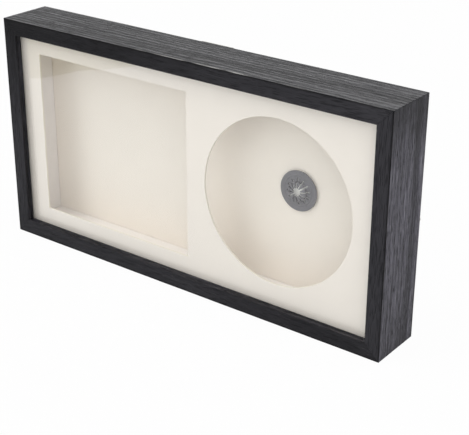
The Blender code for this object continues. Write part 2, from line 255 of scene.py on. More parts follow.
def addObject(name, shape, finish=None):
    mesh = bpy.data.meshes.new(name)
    shape.to_mesh(mesh)
    shape.free()
    if finish:
        mesh.materials.append(finish)
    thing = bpy.data.objects.new(name, mesh)
    scene.collection.objects.link(thing)
    return thing


def soften(thing, angle):
    thing.data.shade_smooth()
    thing.data.set_sharp_from_angle(angle=math.radians(angle))


def addPiece(name, shape, finish=None, angle=flatAngle):
    # a solid with its faces outwards and its smaller edges smooth
    bmesh.ops.recalc_face_normals(shape, faces=shape.faces)
    if shape.calc_volume(signed=True) < 0:
        bmesh.ops.reverse_faces(shape, faces=shape.faces)
    piece = addObject(name, shape, finish)
    soften(piece, angle)
    return piece


def standIn(piece, nodeName):
    # a finer piece rides with the node's own body and takes its place
    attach(piece, nodes[nodeName]["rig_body"])
    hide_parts(nodeName)


def cutAway(thing, cutters, angle=flatAngle):
    # take the cutters out of a mesh for good, and drop them
    for cutter in cutters:
        step = thing.modifiers.new(cutter.name, "BOOLEAN")
        step.operation = "DIFFERENCE"
        step.solver = "EXACT"
        step.object = cutter
    bpy.context.view_layer.update()
    graph = bpy.context.evaluated_depsgraph_get()
    mesh = bpy.data.meshes.new_from_object(thing.evaluated_get(graph))
    thing.modifiers.clear()
    thing.data = mesh
    soften(thing, angle)
    for cutter in cutters:
        bpy.data.objects.remove(cutter, do_unlink=True)


def bridge(shape, near, far):
    # faces between two closed loops of points; a loop may be one point over and over
    for i in range(len(near)):
        j = (i + 1) % len(near)
        corners = [near[i], near[j], far[j], far[i]]
        shape.faces.new([corner for k, corner in enumerate(corners) if corner not in corners[:k]])


def loftRings(rings):
    # a closed solid through rings of points, with its two ends filled
    shape = bmesh.new()
    loops = [[shape.verts.new(point) for point in ring] for ring in rings]
    for near, far in zip(loops, loops[1:]):
        bridge(shape, near, far)
    shape.faces.new(loops[0])
    shape.faces.new(loops[-1])
    return shape


def circle(middle, radius, steps):
    angles = [2 * math.pi * step / steps for step in range(steps)]
    return [(middle[0] + radius * math.cos(a), middle[1] + radius * math.sin(a)) for a in angles]


def turned(profile, steps, centre, facing):
    # a solid turned about an axis along Y, from (radius, height) points, heights along facing * Y
    shape = bmesh.new()
    rings = []
    for radius, height in profile:
        y = centre[1] + facing * height
        if radius == 0:
            rings.append([shape.verts.new((centre[0], y, centre[2]))] * steps)
        else:
            outline = circle((centre[0], centre[2]), radius, steps)
            rings.append([shape.verts.new((x, y, z)) for x, z in outline])
    pairs = list(zip(rings, rings[1:]))
    if profile[0][0] > 0 and profile[-1][0] > 0:
        pairs.append((rings[-1], rings[0]))
    for near, far in pairs:
        bridge(shape, near, far)
    return shape


def drill(name, look, spot):
    # a round cutter along Y for the hole in a plate
    radius, (low, high) = look["holeRadius"], look["holeSpan"]
    profile = [(0, low), (radius, low), (radius, high), (0, high)]
    return addPiece(name, turned(profile, look["holeSteps"], spot, 1))


def arc(centre, radius, first, last, steps):
    # points on part of a circle or ellipse, angles in quarter turns
    across, up = radius if isinstance(radius, tuple) else (radius, radius)
    points = []
    for step in range(steps + 1):
        angle = math.pi / 2 * (first + (last - first) * step / steps)
        points.append((centre[0] + across * math.cos(angle), centre[1] + up * math.sin(angle)))
    return points


def roundCorners(corners, steps):
    # (point, radius) corners to a closed outline, each corner rounded with an arc
    outline = []
    for i, (point, radius) in enumerate(corners):
        corner = Vector(point)
        if radius == 0:
            outline.append(corner)
            continue
        before = (Vector(corners[i - 1][0]) - corner).normalized()
        after = (Vector(corners[(i + 1) % len(corners)][0]) - corner).normalized()
        half = before.angle(after) / 2
        centre = corner + (before + after).normalized() * radius / math.sin(half)
        start = corner + before * radius / math.tan(half) - centre
        end = corner + after * radius / math.tan(half) - centre
        sweep = math.pi - 2 * half
        for step in range(steps + 1):
            turn = sweep * step / steps
            arm = start * math.sin(sweep - turn) + end * math.sin(turn)
            outline.append(centre + arm / math.sin(sweep))
    return outline


def starOutline(arms, halfWidth, reach, turn, tipSteps):
    # arms of equal width with round tips, joined at the middle
    outline = []
    for arm in range(arms):
        angle = turn + 2 * math.pi * arm / arms
        along = Vector((math.cos(angle), math.sin(angle)))
        across = Vector((-along.y, along.x))
        for step in range(tipSteps + 1):
            tip = math.pi * (step / tipSteps - 0.5)
            out = reach - halfWidth + halfWidth * math.cos(tip)
            outline.append(along * out + across * halfWidth * math.sin(tip))
        outline.append(along * halfWidth / math.tan(math.pi / arms) + across * halfWidth)
    return outline


def drawnOut(point, length, width, axis, seed):
    # smooth chance from 0 to 1 in the mesh itself, drawn out along one axis
    scaled = [point[i] / (length if i == axis else width) for i in range(3)]
    return noise.noise(Vector(scaled) + Vector((seed, 2 * seed, 3 * seed))) * 0.5 + 0.5


def within(value):
    return min(1.0, max(0.0, value))


# Studio: a pale floor, an even room, soft lamps in front and two behind, and a dark sheet that only
# reflections show: a painted darker reflection in the glass

studio = {
    "roomStrength": 0.46,
    "floorColour": (0.80, 0.80, 0.80),
    "floorSize": 12.0,  # m across
    "floorRoughness": 0.9,
    "whiteShare": 0.97,  # how far the floor shows as plain white, the rest is its own shade
    "lampDistance": 1.7,  # m from the frame
    # name: degrees to the right of the front, degrees up, share of plain white light, width in m
    "lamps": {
        "keyLamp": (-25, 38, 0.105, 1.3),
        "topLamp": (-45, 64, 0.280, 0.8),
        "lowLamp": (-22, 8, 0.155, 1.4),
        "rightLamp": (25, 38, 0.150, 1.3),
        "farLamp": (50, 20, 0.146, 1.3),
        "rearLamp": (-143, 25, 0.080, 1.0),
        "sideLamp": (143, 8, 0.370, 1.0),
    },
    # a dark sheet on the floor, outlined in m; only mirrors and glass show it, as a painted darker reflection
    "reflectedShadeSheet": [
        (-0.459, -0.289), (-0.448, -0.293), (-0.438, -0.301), (-0.434, -0.313), (-0.429, -0.329),
        (-0.424, -0.344), (-0.416, -0.356), (-0.402, -0.370), (-0.385, -0.400), (-0.370, -0.450),
        (-0.800, -0.450), (-0.800, -0.280),
    ],
    "darkHeight": 0.0005,
    "darkColour": (0.34, 0.32, 0.16),
}

seenRays = ["Is Camera Ray", "Is Glossy Ray", "Is Transmission Ray"]


def makeRoom():
    world = bpy.data.worlds.new("room")
    world.use_nodes = True
    tree = world.node_tree
    background = tree.nodes["Background"]
    background.inputs["Color"].default_value = (1, 1, 1, 1)
    strength = remap(lightPathShare(tree, seenRays), 0.0, 1.0, studio["roomStrength"], 1.0)
    tree.links.new(strength, background.inputs["Strength"])
    scene.world = world


def makeFloor():
    finish = newFinish("floorPaint", studio["floorColour"], studio["floorRoughness"], Specular_IOR_Level=0.0)
    tree = finish.node_tree
    share = times(lightPathShare(tree, seenRays), studio["whiteShare"])
    mixShader(finish, share, addNode(tree, "Emission"))
    shape = bmesh.new()
    bmesh.ops.create_grid(shape, x_segments=1, y_segments=1, size=studio["floorSize"] / 2)
    floor = addObject("floor", shape, finish)


# a dark sheet that camera, diffuse and shadow rays pass by: it paints a darker patch into reflections
def makeReflectedShadeSheet():
    finish = newFinish("reflectedShadeCloth", studio["darkColour"], studio["floorRoughness"])
    shape = bmesh.new()
    shape.faces.new([shape.verts.new((x, y, studio["darkHeight"])) for x, y in studio["reflectedShadeSheet"]])
    reflectedShadeSheet = addObject("reflectedShadeSheet", shape, finish)
    reflectedShadeSheet.visible_camera = False
    reflectedShadeSheet.visible_diffuse = False
    reflectedShadeSheet.visible_shadow = False


def makeLamps():
    middle = (cadBox[0] + cadBox[1]) / 2
    whitePower = math.pi ** 2 * studio["lampDistance"] ** 2  # makes a white card facing the lamp plain white
    for name, (aside, up, share, width) in studio["lamps"].items():
        aside = math.radians(aside)
        up = math.radians(up)
        away = Vector((math.sin(aside) * math.cos(up), -math.cos(aside) * math.cos(up), math.sin(up)))
        data = bpy.data.lights.new(name, "AREA")
        data.shape = "DISK"
        data.size = width
        data.energy = share * whitePower
        lamp = bpy.data.objects.new(name, data)
        lamp.location = middle + away * studio["lampDistance"]
        lamp.rotation_euler = away.to_track_quat("Z", "Y").to_euler()
        scene.collection.objects.link(lamp)


makeRoom()
makeFloor()
makeReflectedShadeSheet()
makeLamps()
scene.view_settings.view_transform = "Standard"
print("studio lit")


# Black stained wood, with open grain along each rail; the stain lies evener on the front faces

woodLook = {
    "dark": (0.0045, 0.0043, 0.0056),
    "light": (0.0500, 0.0480, 0.0590),
    "pore": (0.0015, 0.0015, 0.0020),
    # the colour of worn edges, and of the painted highlight along the top rail's front arris
    "worn": (0.620, 0.605, 0.585),
    "front": (0.0300, 0.0294, 0.0336),
    "frontStreaks": 0.36,  # how strongly the grain shows through on the front faces
    "frontPores": 0.5,  # how much of the pores and the relief is left there
    "frontSpecular": 0.06,
    "line": 0.85,  # how much darker the front face is along its outer edge
    "ringScale": 95.0,  # growth rings, the higher the closer
    "ringWander": 5.0,
    "ringDetail": (3.0, 1.2, 0.6),
    "ringDrawnOut": 28.0,  # how slowly the rings wander along a rail
    "ringLift": 0.6,
    # streaks: length and width, what patches() takes besides, and the chances that become 0 and 1
    "figure": ((0.110, 0.0060), (4.0, 0.55, 0.6), (0.38, 0.64)),
    "fibre": ((0.030, 0.0020), (3.0, 0.65), (0.37, 0.63)),
    "hair": ((0.013, 0.0008), (2.0, 0.5), (0.38, 0.63)),
    "pores": ((0.009, 0.0005), (1.0, 0.4), (0.57, 0.68)),
    "fibreShare": 0.60,
    "hairShare": 0.40,
    "grainShare": 0.40,  # how light the whole grain is
    "calmLevel": 0.55,  # what the rings and figure give way to in a calm board
    "rib": (0.0042, 1.6),  # spacing of the brushed ribs, and how far they wander
    "ribLimit": 0.9,
    "ribPatch": (0.035, 0.010),
    "waver": 0.20,  # how far the broad bands wander
    "waverPatch": (0.09, 0.016),
    "patchDetail": 3.0,
    "roughness": 0.40,
    "roughnessLimits": (0.56, 0.30),  # of the darkest and the lightest grain
    "wornGloss": 0.05,
    "grainRelief": 0.8,
    "poreRelief": 0.5,
    "relief": 0.0015,
}


def makeWood(name, axis, own, front):
    # the finish of one rail along the axis, with that rail's own grain from railLooks
    look = woodLook
    specular = look["frontSpecular"] if front else own["specular"]
    finish = newFinish(name, look["dark"], look["roughness"], Specular_IOR_Level=specular)
    tree = finish.node_tree
    where = ownPlace(finish)

    def drawn(length, width):
        return [length if i == axis else width for i in range(3)]

    def streaks(kind):
        size, settings, (low, high) = look[kind]
        return remap(patches(where, drawn(*size), *settings), low, high)

    def wandering(size):
        return patches(where, drawn(*size), look["patchDetail"])

    def marked(attribute):
        return addNode(tree, "Attribute", attribute_name=attribute).outputs["Fac"]

    detail, detailScale, detailRoughness = look["ringDetail"]
    turnedPlace = addNode(tree, "Mapping", {
        "Vector": where, "Location": own["pith"], "Rotation": own["lean"],
        "Scale": drawn(look["ringDrawnOut"], 1.0)}, vector_type="TEXTURE")
    rings = addNode(tree, "TexWave", {
        "Vector": turnedPlace.outputs[0], "Scale": look["ringScale"], "Distortion": look["ringWander"],
        "Detail": detail, "Detail Scale": detailScale, "Detail Roughness": detailRoughness,
    }, wave_type="RINGS", rings_direction="XYZ"[axis], wave_profile="SAW").outputs["Fac"]
    broad = times(streaks("figure"), plus(rings, look["ringLift"]))
    broad = plus(times(broad, 1 - own["calm"]), look["calmLevel"] * own["calm"])
    fine = plus(times(streaks("fibre"), look["fibreShare"]), times(streaks("hair"), look["hairShare"]))
    share = times(plus(broad, fine), look["grainShare"] * own["tone"])

    spacing, wander = look["rib"]
    depth = addNode(tree, "SeparateXYZ", {0: where}).outputs["Y"]
    turns = plus(times(depth, 1 / spacing), times(wandering(look["ribPatch"]), wander))
    rib = remap(combine("SINE", times(turns, 2 * math.pi), 0.0), -look["ribLimit"], look["ribLimit"])
    share = times(share, plus(times(rib, own["ribbed"]), 1.0 - own["ribbed"] / 2))  # as light on the whole
    across = times(plus(depth, -frontY), 1 / (rearY - frontY))
    waver = times(plus(wandering(look["waverPatch"]), -0.5), look["waver"])
    low, high = (0, topZ) if axis == 2 else (-sideX, sideX)
    along = remap(addNode(tree, "SeparateXYZ", {0: where}).outputs[axis], low, high)
    if front:
        streaked = plus(times(share, look["frontStreaks"]), 1.0 - look["grainShare"] * look["frontStreaks"])
        # the front stops paint shade: the front faces are darker towards the frame's top left
        level = times(ramp(along, own["front"]), streaked)
        wood = mixColours(times(level, 0.5), (0, 0, 0), shaded(look["front"], 2.0))  # level may reach 2
    else:
        # across, along and tint: partly the board's figure, partly painted light and shade on the top and
        # right faces
        share = times(share, ramp(plus(across, waver), own["across"]))
        share = times(share, ramp(plus(along, waver), own["along"]))
        light = tuple(part * factor for part, factor in zip(look["light"], own["tint"]))
        wood = mixColours(share, look["dark"], light)

    pits = streaks("pores")
    openness = look["frontPores"] if front else 1.0
    pitted = mixColours(times(pits, openness), wood, look["pore"])
    edgeDarkened = mixColours(times(marked("line"), look["line"]), pitted, look["pore"])
    # wear lightens worn edges, and paints the highlight along the top rail's front arris
    wear = marked("wear")
    feed("Base Color", mixColours(wear, edgeDarkened, look["worn"]))
    rough = remap(share, 0.0, 1.0, *look["roughnessLimits"])
    feed("Roughness", combine("SUBTRACT", rough, times(wear, look["wornGloss"])))
    height = combine("SUBTRACT", times(share, look["grainRelief"]), times(pits, look["poreRelief"]))
    addRelief(height, look["relief"] * openness)
    return finish


# Mitred rails with an L-shaped section: fine relief, arrises worn more in some places, and a painted
# highlight along a stretch of the top rail's front arris

railShape = {
    "face": 0.0118, "wall": 0.0073, "lip": 0.0053,  # width of the front, wall behind it, depth of the lip
    "mitreGap": 0.00015,
    "outerEdge": (0.0002, 0.0005), "lipEdge": (0.0003, 0.0005), "rearEdge": (0.0004, 0.0006),  # least, most
    "rabbetEdge": 0.0003,
    "edgePatch": (0.018, 0.01), "edgeSeed": 5,  # length and width of the patches of like rounding, new seed
    "edgeWear": {"outer": 1.0, "lip": 0.8, "rabbet": 0.3, "rear": 0.7},
    "arcSteps": 5, "acrossStep": 0.0009, "alongStep": 0.0025,
    "hiddenSpans": 6,  # across the inside wall, which the glass and boards hide
    "flatAngle": 50,
    "relief": 0.00006, "reliefSlope": (1.6, -0.3),
    "reliefStreaks": [(0.6, 0.022, 0.0013, 0), (0.4, 0.070, 0.004, 3)],  # share, length, width, new seed
    "wearPatch": (0.014, 0.003), "wearSeed": 9, "wearSlope": (2.6, -0.9),
    "frontDepth": 0.0002,  # what lies no deeper can have the dark line along the edge
    "lineWidth": 0.0009, "lineSolid": 1.6,
    "sideDepth": 0.00012,  # what lies no deeper can take the painted highlight along the stretch
    "highlightWidth": 0.0009, "highlightSolid": 1.5, "highlightMiddle": 0.18, "highlightFade": 3.3,  # from -1 to 1 along a rail
}


def railOutline(outer, lip, rear):
    # (inward, back, wear) round the section; the number of points is the same for any rounding
    look = railShape
    depth = rearY - frontY
    face, wall, lipDepth = look["face"], look["wall"], look["lip"]
    rabbet, wears = look["rabbetEdge"], look["edgeWear"]
    corners = [((0, 0), outer, wears["outer"]), ((face, 0), lip, wears["lip"]),
               ((face, lipDepth), rabbet, wears["rabbet"]), ((wall, lipDepth), 0, 0),
               ((wall, depth), rabbet, wears["rabbet"]), ((0, depth), rear, wears["rear"])]
    spans = [(corners[i - 1][0], corners[i][0]) for i in range(len(corners))]
    counts = [max(1, round((Vector(b) - Vector(a)).length / look["acrossStep"])) for a, b in spans]
    counts[4] = look["hiddenSpans"]  # the inside of the wall
    path = roundCorners([(point, radius) for point, radius, wear in corners], look["arcSteps"])
    outline = []
    done = 0
    for i, (point, radius, wear) in enumerate(corners):
        arcPoints = 1 if radius == 0 else look["arcSteps"] + 1
        for step in range(arcPoints):
            here = path[done]
            done += 1
            shine = wear * math.sin(math.pi * (step + 0.5) / arcPoints) if radius else 0.0
            outline.append((here.x, here.y, shine))
        gap = path[done % len(path)] - here
        count = counts[(i + 1) % len(corners)]
        for span in range(1, count):
            middle = here + gap * span / count
            outline.append((middle.x, middle.y, 0.0))
    return outline


def makeRail(name, nodeName, finishes, axis, own, put):
    # one rail along the axis, with its own values from railLooks; put(along, back, inward) gives a place
    look = railShape
    length = topZ if axis == 2 else 2 * sideX
    half = length / 2 - look["mitreGap"] / math.sqrt(2)
    stations = round(length / look["alongStep"])
    steep, lift = look["reliefSlope"]
    wearSteep, wearLift = look["wearSlope"]
    edgeWorn, highlightStretch = own["worn"]

    def chance(place, size, shift):
        return drawnOut(place, *size, axis, own["seed"] + shift)

    rings = []
    wears = []
    lines = []
    for station in range(stations + 1):
        reach = 2 * station / stations - 1
        middle = put(reach * half, 0, 0)
        rounding = []
        for i, (least, most) in enumerate((look["outerEdge"], look["lipEdge"], look["rearEdge"])):
            share = chance(middle, look["edgePatch"], look["edgeSeed"] * i)
            rounding.append(least + (most - least) * share)
        outline = railOutline(*rounding)
        ring = []
        for i, (inward, back, shine) in enumerate(outline):
            place = put(reach * (half - inward), back, inward)
            rise = sum(share * chance(place, (long, wide), shift)
                       for share, long, wide, shift in look["reliefStreaks"])
            sunk = look["relief"] * (1 - within(rise * steep + lift))
            before = outline[i - 1]
            after = outline[(i + 1) % len(outline)]
            out = Vector((after[1] - before[1], before[0] - after[0])).normalized() * -1
            inward, back = inward + out.x * sunk, back + out.y * sunk
            ring.append(put(reach * (half - inward), back, inward))
            # edge wear, plus a painted highlight along a stretch near the front of the outer face
            brightened = edgeWorn * shine
            if inward < look["sideDepth"]:
                brightened += (highlightStretch * within(look["highlightSolid"] - back / look["highlightWidth"])
                           * within(look["highlightSolid"] - look["highlightFade"] * abs(reach - look["highlightMiddle"])))
            patchy = chance(place, look["wearPatch"], look["wearSeed"])
            wears.append(within(brightened * within(patchy * wearSteep + wearLift)))
            onFront = back < look["frontDepth"]
            lines.append(within(look["lineSolid"] - inward / look["lineWidth"]) if onFront else 0.0)
        rings.append(ring)
    shape = loftRings(rings)
    for layerName, values in (("wear", wears), ("line", lines)):
        layer = shape.verts.layers.float.new(layerName)
        for vert, value in zip(shape.verts, values):
            vert[layer] = value
    shape.normal_update()
    for face in shape.faces:
        face.material_index = 1 if face.calc_center_median().y < frontY + look["outerEdge"][1] / 2 else 0
    rail = addPiece(name, shape, finishes[0], look["flatAngle"])
    rail.data.materials.append(finishes[1])
    standIn(rail, nodeName)
    return rail


# V-shaped corner nails stay as they are; their slots are cut into the finer rails

slotShape = {
    "apex": 0.36,  # share of the rail's wall from its outside
    "leg": 0.005, "flange": 0.0010, "halfWidth": 0.00055, "depth": 0.0103,
}


def slotCutter(xSide, zSide):
    look = slotShape
    apex = railShape["wall"] * look["apex"]
    reach = apex + look["leg"]
    flange = look["flange"]
    points = [Vector(p) for p in ((reach + flange, apex - flange), (reach, apex), (apex, apex), (apex, reach),
                                  (apex - flange, reach + flange))]
    near = []
    far = []
    for i, point in enumerate(points):
        before = (point - points[i - 1]).normalized() if i > 0 else None
        after = (points[i + 1] - point).normalized() if i < len(points) - 1 else None
        sides = [Vector((-d.y, d.x)) for d in (before, after) if d]
        middle = sum(sides, Vector((0, 0))).normalized()
        step = middle * look["halfWidth"] / middle.dot(sides[0])
        near.append(point + step)
        far.append(point - step)
    outline = near + far[::-1]
    zEdge = topZ if zSide > 0 else 0
    rings = [[(xSide * (sideX - x), y, zEdge - zSide * z) for x, z in outline]
             for y in (rearY - look["depth"], rearY + overrun)]
    return addPiece("slotCutter", loftRings(rings))


# Each rail is its own board: pith is a point on the middle of its tree, lean the way that the rings run off
# the rail's length, calm how faint they are, worn how far its edges are worn and how strong the
# painted highlight is along the stretch at the front; across, along and front are (share, lightness) stops
# over its depth, its length and along its front face, and tint lightens its grain: front is painted shade,
# the front faces darker towards the frame's top left, and across, along and tint are partly the board's
# figure and partly painted light and shade on the top and right faces

even = [(0.0, 1.0), (1.0, 1.0)]
board = {"calm": 0.0, "specular": 0.14, "tint": (1.4, 1.4, 1.4), "across": even, "along": even}
railLooks = {
    "bottom": {
        **board, "seed": 11.3, "worn": (0.05, 0.0), "pith": (0.0, 0.075, -0.020), "lean": (0, 0.02, 0.03),
        "tone": 0.85, "ribbed": 0.5, "front": [(0.0, 0.93), (0.55, 0.9), (0.85, 0.68), (1.0, 0.78)],
    },
    "top": {
        # painted highlight along its front stretch; tint and along paint light on its top face, lighter to
        # the right; front is painted shade, darker to the left
        **board, "seed": 47.9, "worn": (0.05, 1.0), "pith": (0.0, -0.120, 0.160), "lean": (0, 0.01, 0.04),
        "tone": 0.77, "ribbed": 0.9, "tint": (2.55, 2.63, 2.3),
        "across": [(0.0, 1.05), (0.12, 1.2), (0.32, 1.0), (1.0, 1.0)],
        "along": [(0.0, 1.03), (0.45, 1.0), (0.7, 1.3), (0.9, 1.7), (1.0, 2.1)],
        "front": [(0.0, 0.40), (0.35, 0.55), (0.6, 0.85), (1.0, 1.3)],
    },
    "left": {
        **board, "seed": 83.1, "worn": (0.03, 0.0), "pith": (-0.140, 0.060, 0.0), "lean": (0.02, 0.03, 0),
        "tone": 0.75, "ribbed": 0.3,
        # front is painted shade, darker towards the top
        "front": [(0.0, 0.88), (0.3, 1.15), (0.5, 1.1), (0.7, 0.84), (0.85, 0.59), (1.0, 0.41)],
    },
    "right": {
        **board, "seed": 29.7, "worn": (0.04, 0.0), "pith": (0.143, -0.004, 0.0), "lean": (0.03, 0.055, 0),
        # tint, across and along paint light and shade on its side face, besides its figure
        "tone": 0.9, "ribbed": 0.25, "calm": 0.6, "specular": 0.12, "tint": (3.5, 3.5, 3.5),
        "across": [(0.0, 1.15), (0.07, 1.6), (0.20, 1.45), (0.28, 0.9), (0.36, 1.4), (0.50, 1.35),
                   (0.62, 1.25), (0.69, 0.6), (0.81, 0.62), (0.86, 1.8), (0.92, 1.7), (1.0, 0.9)],
        "along": [(0.0, 0.5), (0.12, 0.75), (0.30, 0.92), (0.45, 1.0), (0.70, 1.0), (0.80, 0.85),
                  (0.88, 0.52), (0.96, 0.25), (1.0, 0.25)],
        "front": [(0.0, 1.1), (1.0, 1.15)],
    },
}

# where a point of each rail lies, and on which side in x and z its two mitres are
railPlaces = {
    "bottom": (lambda along, back, inward: (along, frontY + back, inward), [(-1, -1), (1, -1)]),
    "top": (lambda along, back, inward: (along, frontY + back, topZ - inward), [(-1, 1), (1, 1)]),
    "left": (lambda along, back, inward: (inward - sideX, frontY + back, middleZ + along),
             [(-1, -1), (-1, 1)]),
    "right": (lambda along, back, inward: (sideX - inward, frontY + back, middleZ + along),
              [(1, -1), (1, 1)]),
}


def makeRails():
    for name, own in railLooks.items():
        axis = 0 if name in ("bottom", "top") else 2
        put, mitres = railPlaces[name]
        finishes = (makeWood(name + "Wood", axis, own, False), makeWood(name + "FrontWood", axis, own, True))
        rail = makeRail(name + "RailWood", name + "_rail", finishes, axis, own, put)
        cutAway(rail, [slotCutter(*sides) for sides in mitres], railShape["flatAngle"])


makeRails()
print("rails milled, mitred and stained")


# Cream card: the mat in front, and the strips and board that line the box behind it

cardLook = {
    "face": (0.916, 0.850, 0.783),
    "core": (0.86, 0.81, 0.71),
    "inside": (0.955, 0.891, 0.812),
    # the four strips are one card, given lit and shaded colours: painted light on three, painted shade on the
    # left one
    "strip": (0.968, 0.920, 0.880),
    "shadedLeftStrip": (0.880, 0.838, 0.812),  # painted shade: greyer than the other three
    "roughness": 0.88,
    "specular": 0.2,
    "clouds": 0.02,
    "fibres": (0.0007, 3.0, 0.6),
    "mottle": 0.03,  # how much darker the darkest fibres are
    "tooth": 0.00004,
}


def makeCard(name, colour, core=None):
    look = cardLook
    finish = newFinish(name, colour, look["roughness"], Specular_IOR_Level=look["specular"])
    tree = finish.node_tree
    where = ownPlace(finish)
    fibres = patches(where, *look["fibres"])
    shade = plus(stretch(patches(where, look["clouds"]), 0.0, 0.5), stretch(fibres, 0.0, 0.5))
    tone = mixColours(shade, shaded(colour, 1 - look["mottle"]), colour)
    if core:
        # the cut edges show the core, the faces don't
        normal = addNode(tree, "SeparateXYZ", {0: addNode(tree, "NewGeometry").outputs["Normal"]})
        facing = combine("POWER", normal.outputs["Y"], 2.0)
        tone = mixColours(stretch(facing), core, tone)
    feed("Base Color", tone)
    addRelief(fibres, look["tooth"])
    return finish


# The mat is cut again with finer edges and a rounder disc window

matShape = {
    "caseWindow": (-0.0697, 0.143, 0.1275),  # middle, width, height
    "discWindow": (0.07945, 0.1228),  # middle, diameter
    "edge": 0.0001,
    "discSteps": 240,
}


def rectangleLoop(middle, width, height):
    x, z = width / 2, height / 2
    return [(middle + across * x, middleZ + up * z) for across, up in ((-1, -1), (1, -1), (1, 1), (-1, 1))]


def makeMat(finish):
    low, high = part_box("window_mat")
    edge = matShape["edge"]
    caseX, caseWidth, caseHeight = matShape["caseWindow"]
    discX, discWidth = matShape["discWindow"]

    def loops(inset):
        return [rectangleLoop(0, high.x - low.x - 2 * inset, high.z - low.z - 2 * inset),
                rectangleLoop(caseX, caseWidth + 2 * inset, caseHeight + 2 * inset),
                circle((discX, middleZ), discWidth / 2 + inset, matShape["discSteps"])]

    shape = bmesh.new()
    levels = [(low.y, edge), (low.y + edge, 0), (high.y - edge, 0), (high.y, edge)]
    rings = [[[shape.verts.new((x, y, z)) for x, z in loop] for loop in loops(inset)] for y, inset in levels]
    for near, far in zip(rings, rings[1:]):
        for one, other in zip(near, far):
            bridge(shape, one, other)
    for level in (rings[0], rings[-1]):
        rim = [shape.edges.get((loop[i - 1], loop[i])) for loop in level for i in range(len(loop))]
        bmesh.ops.triangle_fill(shape, use_beauty=True, use_dissolve=False, edges=rim)
    standIn(addPiece("windowMatCard", shape, finish), "window_mat")


makeMat(makeCard("matCard", cardLook["face"], cardLook["core"]))
# lit and shaded copies of one card: painted light on three strips, painted shade on the left one
paint(makeCard("stripCard", cardLook["strip"]), "right_spacer", "top_spacer", "bottom_spacer")
paint(makeCard("shadedLeftStripCard", cardLook["shadedLeftStrip"]), "left_spacer")
paint(makeCard("boardCard", cardLook["inside"]), "mount_board")
print("card cut")


# Front glass: lamps reach through it, so that the box behind is lit

glassLook = {
    "tint": (0.99, 0.995, 0.99),
    "roughness": 0.0,
    "ior": 1.5,
    "passed": (0.95, 0.955, 0.95),  # the light that reaches what lies behind
}


def makeGlass():
    look = glassLook
    finish = newFinish("paneGlass", look["tint"], look["roughness"], IOR=look["ior"], Transmission_Weight=1.0)
    tree = finish.node_tree
    clear = addNode(tree, "BsdfTransparent", {"Color": (*look["passed"], 1)})
    mixShader(finish, lightPathShare(tree, ["Is Shadow Ray", "Is Diffuse Ray"]), clear)
    return finish


paint(makeGlass(), "front_glass")
print("glass set")


# Grey moulded hub: a thin base with a ring of spring fingers, over a white foam pad

hubShape = {
    "radius": 0.0151, "base": 0.0008, "rimEdge": 0.0002, "bevel": 0.0001,
    "seatRadius": 0.0113, "seatRise": 0.0002, "seatEdge": 0.0002, "seatFillet": 0.0003,
    "neckRadius": 0.0072, "neckFillet": 0.0005, "lipBulge": 0.0004, "lipHeight": 0.0026,
    "crownHeight": 0.0037, "crownReach": 0.9, "crownDish": 0.0006,  # reach, as a share of lip to hole
    "holeRadius": 0.0029, "holeEdge": (0.00015, 0.00003), "fingerWall": 0.0008,
    "fingers": 12, "slitWidth": 0.0012, "slitReach": 0.0097,
    "slitTurn": 6,  # degrees
    "steps": 192, "crownSteps": 12, "slitSteps": 8, "padSteps": 96, "padEdgeSteps": 2,
    "edgeSteps": (5, 3),  # for the larger and the smaller roundings
}

hubLook = {
    "colour": (0.125, 0.122, 0.140),
    "dark": (0.1025, 0.10004, 0.1148),
    "light": (0.1475, 0.14396, 0.1652),
    "grit": (0.0004, 2.0),
    "clouds": (0.006, 2.0, 0.5, 1.0),
    "roughness": 0.38,
    "roughnessLimits": (0.33, 0.45),
    "relief": 0.000012,
}

padLook = {
    "colour": (0.96, 0.95, 0.92),
    "roughness": 0.9,
    "cells": 2200.0,  # per metre
    "cellWall": (0.1, 0.6),  # where it starts and ends, from the middle of a cell
    "shade": 0.86,  # painted shade in the hollow middle of a cell
    "relief": 0.00008,
}


def makeFoam():
    look = padLook
    finish = newFinish("padFoam", look["colour"], look["roughness"])
    cells = addNode(finish.node_tree, "TexVoronoi", {"Vector": ownPlace(finish), "Scale": look["cells"]})
    wall = remap(cells.outputs["Distance"], *look["cellWall"])
    # the middle of each cell is painted darker: painted shade in its hollow
    feed("Base Color", mixColours(wall, shaded(look["colour"], look["shade"]), look["colour"]))
    addRelief(wall, look["relief"])
    return finish


def hubProfile():
    # closed half section, from the rim over the fingers and back beneath
    look = hubShape
    base, seat = look["base"], look["base"] + look["seatRise"]
    radius, edge, bevel = look["radius"], look["rimEdge"], look["bevel"]
    neck, fillet = look["neckRadius"], look["neckFillet"]
    lip, crown = look["lipHeight"], look["crownHeight"]
    seatRadius, seatFillet, seatEdge = look["seatRadius"], look["seatFillet"], look["seatEdge"]
    lipRadius = neck + look["lipBulge"]
    reach = (lipRadius - look["holeRadius"]) * look["crownReach"]
    tip = crown - look["crownDish"]
    many, few = look["edgeSteps"]
    aside, above = look["holeEdge"]
    profile = [(radius - bevel, 0), (radius, bevel)]
    profile += arc((radius - edge, base - edge), edge, 0, 1, many)
    profile += arc((seatRadius + seatFillet, base + seatFillet), seatFillet, -1, -2, few)[:-1]
    profile += arc((seatRadius - seatEdge, seat - seatEdge), seatEdge, 0, 1, few)
    profile += arc((neck + fillet, seat + fillet), fillet, -1, -2, many)
    profile += [(neck, lip - look["lipBulge"] - bevel)]
    profile += arc((lipRadius - reach, lip), (reach, crown - lip), 0, 1, look["crownSteps"])
    profile += [(look["holeRadius"] + aside, tip + above), (look["holeRadius"], tip - bevel)]
    inside = neck - look["fingerWall"]
    profile += [(look["holeRadius"], tip - look["fingerWall"]),
                (lipRadius - reach, crown - look["fingerWall"]),
                (inside, lip - look["lipBulge"]), (inside, 0)]
    return profile


